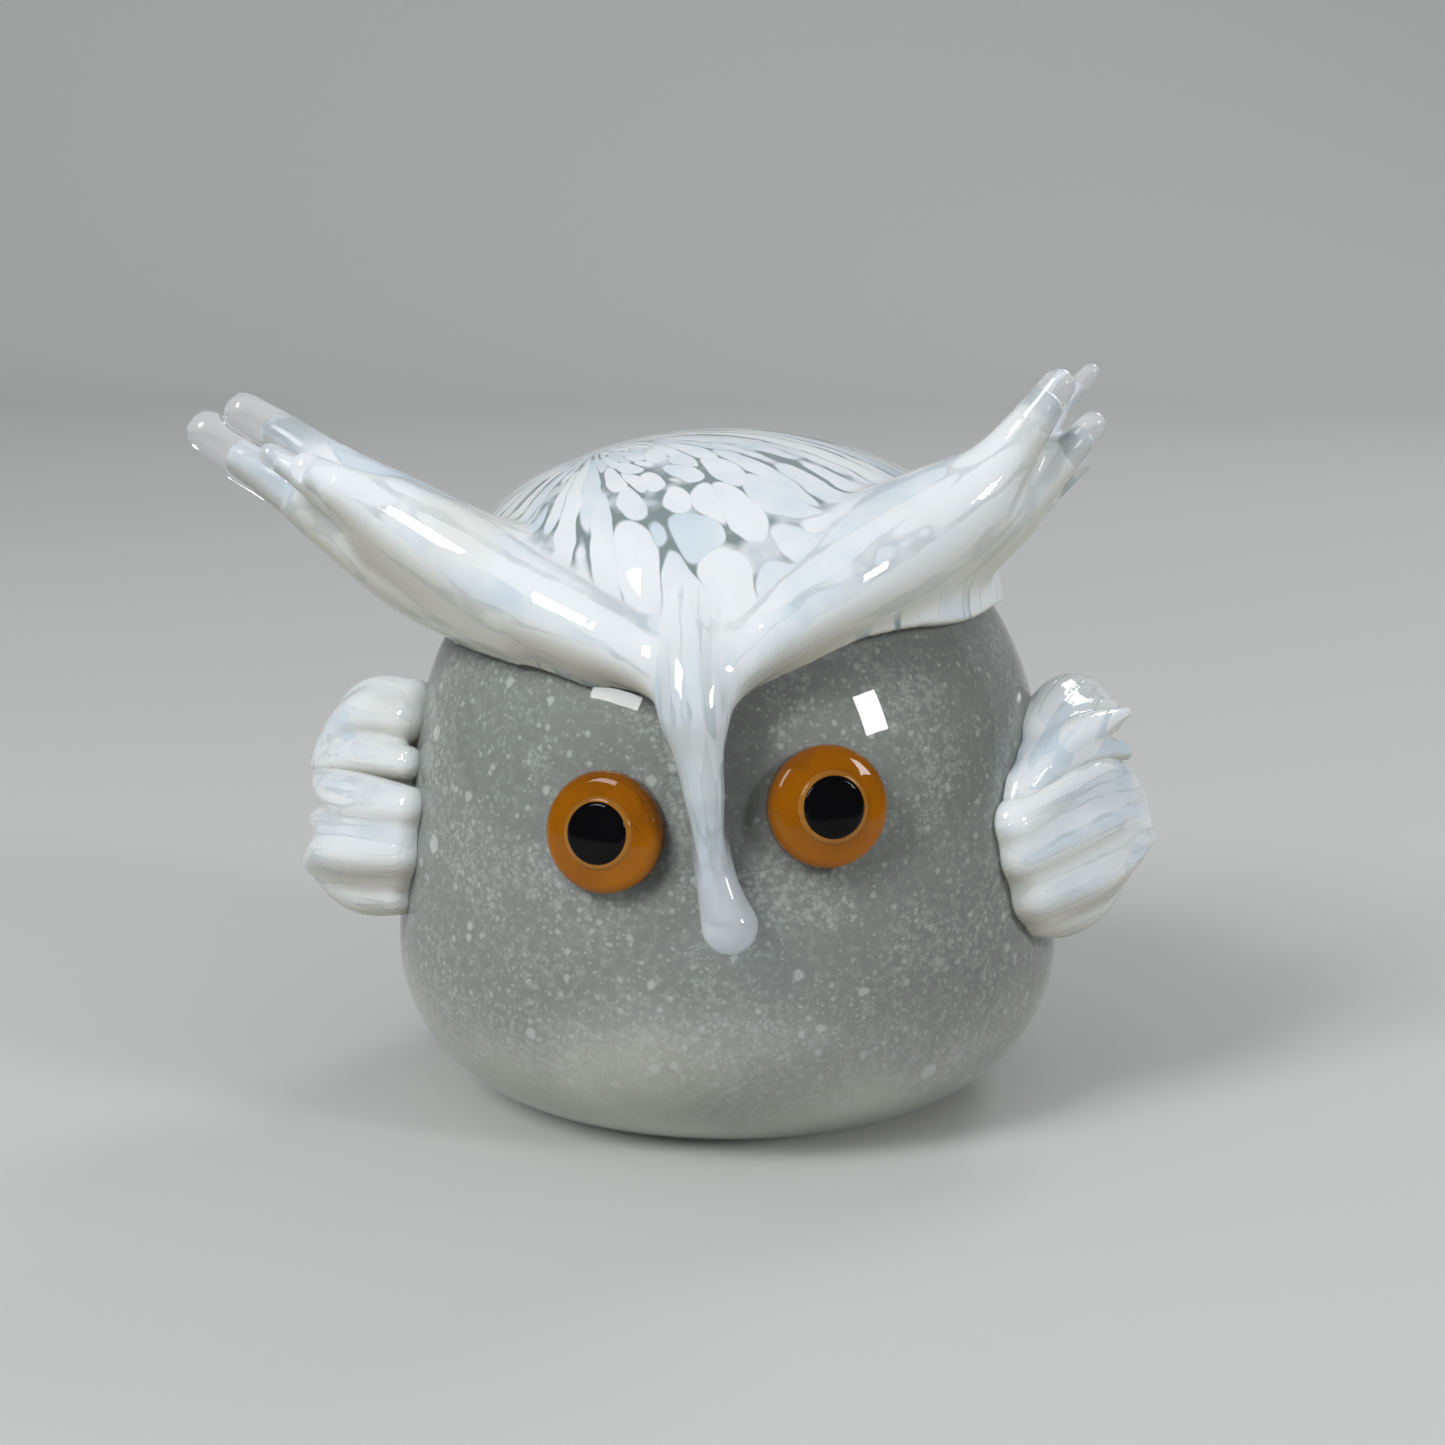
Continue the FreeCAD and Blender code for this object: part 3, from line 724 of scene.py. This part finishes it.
def melted(name, lines, voxel, blend, others=()):
    """Strands, and any other pieces, laid together and run into one closed bit."""
    pieces = [strand_mesh(f"{name}_{i}", line, blend * 0.5) for i, line in enumerate(lines)]
    pieces += others
    bpy.ops.object.select_all(action="DESELECT")
    for piece in pieces:
        piece.select_set(True)
    bpy.context.view_layer.objects.active = pieces[0]
    bpy.ops.object.convert(target="MESH")
    bpy.ops.object.join()
    piece = bpy.context.view_layer.objects.active
    piece.name = name
    apply_modifier(piece, "REMESH", mode="VOXEL", voxel_size=voxel, use_smooth_shade=True)
    apply_modifier(piece, "SMOOTH", factor=0.5, iterations=3)
    bpy.ops.object.shade_smooth()
    return piece


def step_onto(gap, out):
    """How far to move each point, against the way out, to bring it onto a surface."""
    return np.clip(gap, -MM, MM) / np.maximum((out ** 2).sum(1), 0.3)


def run_together(piece, lines, blend):
    """Moves a melted bit's skin to where surface tension would have drawn it."""
    points = vertices(piece)
    for _ in range(3):
        gaps, outs, _ = near_all(points, lines)
        gap, out = smooth_union(gaps, outs, blend)
        points = points - out * step_onto(gap, out)[:, None]
    place_vertices(piece, points)
    apply_modifier(piece, "SMOOTH", factor=0.5, iterations=2)


def outside_cap(points):
    """How far points lie outside the cap's crown and shoulder, and the way out of it."""
    crown_centre = Vector((0, CAP_TOP - CROWN_ARC))
    shoulder_centre = on_arc(crown_centre, CROWN_ARC - SHOULDER_ARC, math.pi / 2 - CROWN_TURN)
    reach = np.hypot(points[:, 0], points[:, 1])
    on_crown = np.arctan2(reach, points[:, 2] - crown_centre.y) < CROWN_TURN
    across = np.where(on_crown, reach - crown_centre.x, reach - shoulder_centre.x)
    up = np.where(on_crown, points[:, 2] - crown_centre.y, points[:, 2] - shoulder_centre.y)
    far = np.hypot(across, up)
    sideways = across / far / np.maximum(reach, 1e-9)
    out = np.stack([points[:, 0] * sideways, points[:, 1] * sideways, up / far], 1)
    return far - np.where(on_crown, CROWN_ARC, SHOULDER_ARC), out


GATHER_VOXEL = 0.55 * MM
GATHER_BLEND = 1.3 * MM
MELT_REACH = 1.2 * MM           # how far round a join the two bits have run into each other
# at the end of each finger, in mm: how much is clear glass, and how much of the white is sheer
LEFT_CLEAR = (5, 14, 5, 15, 12)
RIGHT_CLEAR = (6, 6, 6, 7, 4)
LEFT_SHEER = (0, 14, 0, 15, 12)
RIGHT_SHEER = (6, 6, 6, 7, 4)
BEAK_CLEAR = 16 * MM
BEAK_SHEER = 42 * MM
# the size of a thread: (width across, length along)
TUFT_THREADS = (3.6 * MM, 42 * MM)
BEAK_THREADS = (1.3 * MM, 40 * MM)
# (waves round the rim, mm up or down, start)
RIM_WAVES = ((3, 0.55, 0.8), (5, 0.30, 2.1), (11, 0.25, 0.0))

# two folds of the cap and the root of the beak, which run into each other between the eyes
FOLDS = [
    [(-13.0, 0.880, 0.4, 1.0), (-9.5, 0.820, 2.4, 1.8), (-6.0, 0.750, 4.4, 2.3), (-4.6, 0.680, 4.8, 2.4)],
    [(7.0, 0.890, 0.4, 1.0), (3.5, 0.830, 2.2, 1.6), (0.5, 0.760, 3.8, 2.0), (-2.0, 0.680, 4.6, 2.2)],
]
BEAK_ROOT = [(-7.0, 0.860, 0.6, 1.0), (-6.0, 0.800, 3.0, 2.2), (-4.5, 0.740, 4.4, 2.9)]
beak_line = centre_line(BEAK_ROOT + BEAK[1:], 60)
fold_lines = [centre_line(run, 24) for run in FOLDS]
left_lines = [centre_line(run) for run in BROW_LEFT]
right_lines = [centre_line(run) for run in BROW_RIGHT]


def white_part(line, clear, stop, thin):
    """The white inside a drawn strand: it thins along the clear end and stops short of the tip."""
    left = run_of(line)[-1] - run_of(line)
    share = np.clip(1 - left / clear, 0, 1)
    core = line.copy()
    core[:, 3] = core[:, 3] * (1 - thin * share) - 0.12 * MM * np.clip(share * 8, 0, 1)
    return core[left > stop * clear]


def clear_part(line, clear):
    """The clear end of a drawn strand: it comes out from under the white."""
    left = run_of(line)[-1] - run_of(line)
    end = line.copy()
    end[:, 3] = end[:, 3] - 0.9 * MM * np.clip((left - clear) / (0.35 * clear), 0, 1)
    return end[left < 1.3 * clear]


def web(first, second, reach, thin):
    """Glass drawn out between two strands, as far as a share of their length."""
    middle = (first + second) / 2
    middle[:, 3] *= thin
    return middle[:max(2, int(len(middle) * reach))]


def wavy_rim(piece):
    """The cap's rim was cut hot, so it wanders up and down a little over the bubble."""
    points = vertices(piece)
    reach = np.hypot(points[:, 0], points[:, 1])
    azimuth = np.arctan2(points[:, 0], -points[:, 1])
    slope = np.arctan2(points[:, 2] - dome_centre.y, reach)
    wave = sum(size * np.sin(count * azimuth + start) for count, size, start in RIM_WAVES)
    by_rim = np.clip((0.90 * BUBBLE_HEIGHT - points[:, 2]) / (0.08 * BUBBLE_HEIGHT), 0, 1)
    slope = slope + wave * MM / dome_arc * by_rim
    far = np.hypot(reach, points[:, 2] - dome_centre.y)
    scale = far * np.cos(slope) / np.maximum(reach, 1e-9)
    height = dome_centre.y + far * np.sin(slope)
    place_vertices(piece, np.stack([points[:, 0] * scale, points[:, 1] * scale, height], 1))


def run_onto_cap(piece, lines):
    """As run_together, with the cap's outside; the cap's rim and hidden face stay as they are."""
    points = vertices(piece)
    for _ in range(3):
        off_skin = np.linalg.norm(points - np.array([0, 0, dome_centre.y]), axis=1) - dome_arc
        gaps, outs, _ = near_all(points, lines)
        cap_gap, cap_out = outside_cap(points)
        all_gaps, all_outs = np.vstack([gaps, cap_gap]), np.concatenate([outs, cap_out[None]])
        gap, out = smooth_union(all_gaps, all_outs, GATHER_BLEND)
        by_strand = np.clip((MELT_REACH - gaps.min(0)) / (MELT_REACH / 2), 0, 1)
        by_cap = np.clip((off_skin - MELT_REACH) / MELT_REACH, 0, 1)
        points = points - out * (step_onto(gap, out) * np.maximum(by_strand, by_cap))[:, None]
    place_vertices(piece, points)
    apply_modifier(piece, "SMOOTH", factor=0.5, iterations=2)


def store_glass_pattern(piece):
    """Stores swept, drawn and melt on the gather, as opal_white reads them."""
    points = vertices(piece)
    systems = [near_all(points, lines) for lines in (left_lines, right_lines, [beak_line])]
    system_gaps = np.array([gaps.min(0) for gaps, _, _ in systems])
    nearest = system_gaps.argmin(0)
    nearness = np.exp(-system_gaps / MELT_REACH)
    plain = np.clip((nearness.max(0) / nearness.sum(0) - 0.55) / 0.3, 0, 1)
    above_cap = outside_cap(points)[0]
    on_cap = np.clip((system_gaps.min(0) - above_cap + MELT_REACH) / (2 * MELT_REACH), 0, 1)
    # each system's threads are shifted far along, so that no two have the same pattern
    drawn = np.select(
        [(nearest == i)[:, None] for i in range(3)],
        [along_strand(points, left_lines[0], *TUFT_THREADS),
         along_strand(points, right_lines[0], *TUFT_THREADS) + 40,
         along_strand(points, beak_line, *BEAK_THREADS) + 80],
    )
    beak_run = systems[2][2][0]
    to_tip = np.clip((beak_run - beak_run.max() + BEAK_SHEER) / (BEAK_SHEER + 2 * MM), 0, 1) * (nearest == 2)
    for side, lines, lengths in ((0, left_lines, LEFT_SHEER), (1, right_lines, RIGHT_SHEER)):
        gaps, _, runs = systems[side]
        closest = gaps.argmin(0)
        for i, length in enumerate(lengths):
            left = run_of(lines[i])[-1] - runs[i]
            share = np.clip(1 - left / (length * MM), 0, 1) if length else 0
            to_tip = np.where((nearest == side) & (closest == i), share, to_tip)
    store(piece, "swept", combed(points))
    store(piece, "drawn", drawn)
    masks = [blurred(piece, mask, times) for mask, times in ((on_cap, 4), (plain, 6), (to_tip, 6))]
    store(piece, "melt", np.stack(masks, 1))


white_runs = [white_part(line, clear * MM, 0.3, 0.55) for line, clear in zip(left_lines, LEFT_CLEAR)]
white_runs += [white_part(line, clear * MM, 0.35, 0.5) for line, clear in zip(right_lines, RIGHT_CLEAR)]
white_runs += [white_part(beak_line, BEAK_CLEAR, 0.10, 0.45)] + fold_lines
white_runs += [web(left_lines[a], left_lines[b], 0.6, 0.92) for a, b in ((0, 1), (0, 3), (1, 3), (3, 4))]
white_runs += [web(right_lines[a], right_lines[b], 0.6, 0.92) for a, b in ((0, 1), (1, 2), (0, 4), (1, 4))]
cap_body = spun("cap_body", cap_profile(), 192)
wavy_rim(cap_body)
gather = melted("white_gather", white_runs, GATHER_VOXEL, GATHER_BLEND, [cap_body])
run_onto_cap(gather, white_runs)
store_glass_pattern(gather)
white_glass = opal_white("white_glass", 0.26, clear_to_tip=True)
finished(gather, white_glass, "white_glass", "white_cap", "brow_left", "brow_right", "beak")


# ---------------------------------------------------------------- clear finger tips and drip
# Where the strands were pulled thin the white ran out: each finger ends in a bead of clear glass,
# and the beak is clear round a wisp of white, down to the clear drop at its end.

TIP_VOXEL = 0.3 * MM
TIP_BLEND = 0.5 * MM
MILKY_START = 11.5 * MM         # how far above the beak's tip its clear glass starts to turn milky
MILKY_FADE = 6 * MM

tip_glass = clear_glass("tip_glass", (0.95, 0.955, 0.965, 1), clearness=0.86)
drip_glass = clear_glass("drip_glass", (0.88, 0.905, 0.935, 1), clearness=0.66, fading=True)


def clear_ends(name, ends):
    """Clear ends of strands, run together into one piece."""
    piece = melted(name, ends, TIP_VOXEL, TIP_BLEND)
    run_together(piece, ends, TIP_BLEND)
    return piece


for name, lines, lengths in (
    ("left_finger_tips", left_lines, LEFT_CLEAR),
    ("right_finger_tips", right_lines, RIGHT_CLEAR),
):
    tips = clear_ends(name, [clear_part(line, clear * MM) for line, clear in zip(lines, lengths)])
    finished(tips, tip_glass, "clear_glass")

beak_drip = clear_ends("beak_drip", [clear_part(beak_line, BEAK_CLEAR)])
left = run_of(beak_line)[-1] - near_strand(vertices(beak_drip), beak_line)[2]
milky = np.clip((MILKY_START - left) / MILKY_FADE, 0, 1)
store(beak_drip, "melt", np.stack([milky * 0, milky * 0, milky], 1))
finished(beak_drip, drip_glass, "clear_glass")


# ---------------------------------------------------------------- eyes
# Each eye is three drops, one on the other: an amber disc pressed flat, a thin tan ring, and a
# black drop for the pupil. They are fire polished, so each has a bright rounded edge.

EYES = {"left": (-18.7, 0.517), "right": (18.7, 0.556)}
# (radius, how far it stands out, edge rounding, rise of its crown), in mm
IRIS = (7.6, 2.5, 1.6, 0.7)
HALO = (4.6, 2.8, 0.7, 0.25)
PUPIL = (4.0, 3.2, 0.7, 0.3)
DROP_BACK = -1.2
THREAD_BROWN = (0.02, 0.008, 0.003, 1)


def drop_profile(radius, bulge, edge, crown):
    """Half section of a flattened drop: low crown, rounded edge, straight side, flat back."""
    edge_centre = Vector((radius - edge, bulge - crown - edge))
    crown_arc = (edge_centre.x ** 2 + (crown + edge) ** 2 - edge ** 2) / (2 * crown)
    lean_out = math.acos(edge_centre.x / (crown_arc - edge))
    crown_centre = Vector((0, bulge - crown_arc))
    section = [on_arc(crown_centre, crown_arc, a) for a in np.linspace(math.pi / 2, lean_out, 10)]
    section += [on_arc(edge_centre, edge, a) for a in np.linspace(lean_out, 0, 10)[1:]]
    section += [Vector((radius, DROP_BACK)), Vector((0, DROP_BACK))]
    return [(point.x * MM, point.y * MM) for point in section]


def eye_glass(name, colour, dark, grain, gloss=0.25):
    """Glossy coloured glass with painted shading, darker where it faces up and lighter below, with clouds of
    tone and a few drawn-in dark threads.
    """
    material, nodes, shader = new_material(name)
    place = nodes.add("ShaderNodeTexCoord").outputs["Object"]
    tone = nodes.spread(nodes.noise(place, grain, 3), 0.35, 0.7, 0.0, 0.5)
    # painted shading: where the glass faces up it turns to the darker colour, where it faces down to the
    # lighter
    tone = nodes.maths("ADD", tone, nodes.spread(nodes.upward(), -0.35, 0.75, 0.0, 0.75), clamp=True)
    thread = nodes.add("ShaderNodeTexVoronoi", {"feature": "DISTANCE_TO_EDGE"}, Vector=place, Scale=190.0)
    scratch = nodes.spread(thread.outputs["Distance"], 0.0, 0.03, 0.20, 0.0)
    scratch = nodes.maths("MULTIPLY", scratch, nodes.spread(nodes.noise(place, 260, 1), 0.56, 0.64))
    nodes.feed(shader, "Base Color", nodes.mix(scratch, nodes.mix(tone, colour, dark), THREAD_BROWN))
    shader.inputs["Roughness"].default_value = 0.03
    shader.inputs["Specular IOR Level"].default_value = gloss
    return material


amber = eye_glass("amber_glass", (0.37, 0.120, 0.0005, 1), (0.20, 0.063, 0.004, 1), 120)
tan = eye_glass("tan_glass", (0.37, 0.160, 0.022, 1), (0.27, 0.105, 0.016, 1), 200)
black = eye_glass("black_glass", (0.004, 0.004, 0.005, 1), (0.002, 0.002, 0.002, 1), 100, 0.12)

for side, (azimuth, level) in EYES.items():
    place = skin(azimuth, level)
    outward = (skin(azimuth, level, MM) - place).normalized()
    turn = Vector((0, 0, 1)).rotation_difference(outward).to_matrix().to_4x4()
    for kind, sizes, glass, slot in (
        ("iris", IRIS, amber, "amber_glass"),
        ("halo", HALO, tan, "tan_glass"),
        ("pupil", PUPIL, black, "black_glass"),
    ):
        piece = spun(f"{side}_{kind}", drop_profile(*sizes), 72)
        piece.data.transform(turn)
        for vertex in piece.data.vertices:
            vertex.co += place
        finished(piece, glass, slot, f"eye_{side}_{kind}")


# ---------------------------------------------------------------- wings
# Each wing is two bits of white glass, each pinched into a fan of ridges and pulled to points,
# the lower one over the upper one.

WINGS = {
    "right_lower": [
        [(58.0, 0.485, 0.6, 3.4), (70.5, 0.530, 4.6, 3.7),
         (81.0, 0.510, 9.1, 2.9), (87.0, 0.455, 11.7, 1.5)],
        [(59.0, 0.430, 0.6, 3.5), (69.5, 0.450, 4.6, 4.0),
         (79.0, 0.448, 8.6, 3.4), (85.0, 0.430, 11.7, 1.8)],
        [(62.0, 0.365, 0.6, 3.7), (72.0, 0.370, 4.8, 4.3),
         (80.5, 0.378, 9.3, 2.8), (84.0, 0.398, 13.0, 1.1)],
        [(66.0, 0.325, 0.4, 3.1), (74.0, 0.303, 2.4, 3.4),
         (81.0, 0.318, 5.9, 2.9), (85.5, 0.345, 9.1, 1.5)],
    ],
    "right_upper": [
        [(62.0, 0.530, 0.9, 2.9), (70.0, 0.572, 4.4, 3.0),
         (78.5, 0.587, 8.6, 2.2), (83.5, 0.586, 12.0, 1.0)],
        [(73.5, 0.590, 0.6, 3.0), (85.0, 0.617, 3.0, 3.9),
         (92.5, 0.610, 6.6, 3.3), (95.0, 0.585, 9.2, 1.7)],
        [(80.0, 0.545, 1.2, 3.2), (89.0, 0.565, 5.0, 3.8), (94.0, 0.540, 8.5, 2.2)],
    ],
    "left_lower": [
        [(-69.0, 0.480, 1.0, 3.0), (-76.0, 0.470, 6.0, 4.0),
         (-83.5, 0.464, 9.7, 3.5), (-90.0, 0.470, 11.9, 1.9)],
        [(-70.0, 0.405, 1.0, 3.6), (-76.0, 0.395, 5.9, 4.6),
         (-83.5, 0.374, 9.7, 3.5), (-90.0, 0.336, 12.6, 1.5)],
        [(-73.0, 0.330, 0.8, 2.9), (-78.0, 0.320, 4.2, 3.5),
         (-85.5, 0.315, 7.6, 3.3), (-90.0, 0.325, 11.4, 1.5)],
    ],
    "left_upper": [
        [(-79.0, 0.595, 1.8, 3.2), (-85.5, 0.588, 6.7, 3.8),
         (-90.0, 0.536, 9.8, 3.6), (-94.0, 0.475, 13.1, 1.8)],
        [(-83.0, 0.625, 1.2, 2.8), (-90.0, 0.611, 6.1, 2.8),
         (-94.5, 0.578, 9.8, 2.3), (-98.5, 0.512, 12.8, 1.5)],
        [(-86.0, 0.520, 1.0, 3.2), (-93.0, 0.530, 5.5, 3.4), (-99.0, 0.490, 9.5, 1.9)],
    ],
}
WING_VOXEL = 0.3 * MM
WING_BLEND = 0.6 * MM
WING_THIN = 0.30 * MM           # taken off each strand, as melting them together swells them
WING_THREADS = (1.9 * MM, 34 * MM)

wing_glass = opal_white("wing_glass", 0.24, groove=0.30)
for name, runs in WINGS.items():
    lines = [centre_line(run, 32) for run in runs]
    for line in lines:
        line[:, 3] = np.maximum(line[:, 3] - WING_THIN, 0.6 * MM)
    bits = lines + [web(first, second, 0.85, 0.8) for first, second in zip(lines, lines[1:])]
    if len(lines) == 3:
        bits.append(web(lines[0], lines[2], 0.9, 0.92))
    if name.endswith("upper"):
        lower_bit = centre_line(WINGS[name.replace("upper", "lower")][0], 32)
        bits += [web(line, lower_bit, 0.8, 0.75) for line in (lines[0], lines[-1])]
    wing = melted(f"wing_{name}_fan", bits, WING_VOXEL, WING_BLEND)
    run_together(wing, bits, WING_BLEND)
    points = vertices(wing)
    store(wing, "drawn", along_strand(points, lines[1], *WING_THREADS))
    store(wing, "swept", points * 0)
    # no threads across the root, where the wing was pressed on
    from_root = np.clip((near_strand(points, lines[1])[2] - MM) / (5 * MM), 0, 1)
    store(wing, "melt", np.stack([from_root * 0, from_root, from_root * 0], 1))
    finished(wing, wing_glass, "white_glass", f"wing_{name}")


# ---------------------------------------------------------------- stage, lamps and camera
# A pale paper sweep, three softboxes and an even sky. The sky is dimmer where it is mirrored, so
# that dark glass stays dark and the softboxes show crisp in it.

SWEEP_BACK = 0.9
SWEEP_ARC = 0.5
sweep_line = [(-1.5, 0.0)]
sweep_line += [(SWEEP_BACK + SWEEP_ARC * math.sin(a), SWEEP_ARC * (1 - math.cos(a)))
               for a in np.linspace(0, math.pi / 2, 33)]
sweep_line += [(SWEEP_BACK + SWEEP_ARC, 2.5)]
sweep_mesh = bpy.data.meshes.new("sweep")
sweep_mesh.from_pydata(
    [(side * 2.5, y, z) for y, z in sweep_line for side in (-1, 1)],
    [],
    [(2 * i, 2 * i + 1, 2 * i + 3, 2 * i + 2) for i in range(len(sweep_line) - 1)],
)
sweep = bpy.data.objects.new("sweep", sweep_mesh)
bpy.context.collection.objects.link(sweep)
bpy.ops.object.select_all(action="DESELECT")
bpy.context.view_layer.objects.active = sweep
sweep.select_set(True)
bpy.ops.object.shade_smooth()
sweep_paint, _, paint_shader = new_material("sweep_paint")
paint_shader.inputs["Base Color"].default_value = (0.55, 0.555, 0.55, 1)
paint_shader.inputs["Roughness"].default_value = 0.7
sweep.data.materials.append(sweep_paint)

SKY_LIGHT = 0.85
SKY_MIRRORED = 0.10
world = bpy.data.worlds.new("studio")
bpy.context.scene.world = world
world.use_nodes = True
sky = Nodes(world.node_tree)
mirrored = sky.add("ShaderNodeLightPath").outputs["Is Glossy Ray"]
background = world.node_tree.nodes["Background"]
background.inputs["Color"].default_value = (0.60, 0.61, 0.62, 1)
sky.feed(background, "Strength", sky.spread(mirrored, 0.0, 1.0, SKY_LIGHT, SKY_MIRRORED))


def softbox(name, place, aim, width, height, power):
    """A rectangular lamp that looks at a point."""
    lamp = bpy.data.lights.new(name, "AREA")
    lamp.shape = "RECTANGLE"
    lamp.size = width
    lamp.size_y = height
    lamp.energy = power
    holder = bpy.data.objects.new(name, lamp)
    bpy.context.collection.objects.link(holder)
    holder.location = place
    holder.rotation_euler = (Vector(aim) - Vector(place)).to_track_quat("-Z", "Y").to_euler()


middle = (0, 0, 0.05)
softbox("key", (-0.55, -0.55, 0.75), middle, 0.35, 0.45, 6.0)
softbox("fill", (0.75, -0.45, 0.45), middle, 0.15, 0.21, 2.0)
softbox("rim", (0.5, 0.75, 0.75), middle, 0.35, 0.25, 2.2)

CAMERA_PLACE = Vector((0.01296, -0.39105, 0.13257))
CAMERA_AIM = Vector((-0.0007, -0.00002, 0.0494))
CAMERA_LENS = 73.2              # in mm, on a chip 36 mm wide
view = bpy.data.cameras.new("view")
view.lens = CAMERA_LENS
view.sensor_width = 36
view.clip_start = 0.01
camera = bpy.data.objects.new("view", view)
bpy.context.collection.objects.link(camera)
camera.location = CAMERA_PLACE
camera.rotation_euler = (CAMERA_AIM - CAMERA_PLACE).to_track_quat("-Z", "Y").to_euler()
bpy.context.scene.camera = camera
bpy.context.scene.view_settings.view_transform = "Standard"
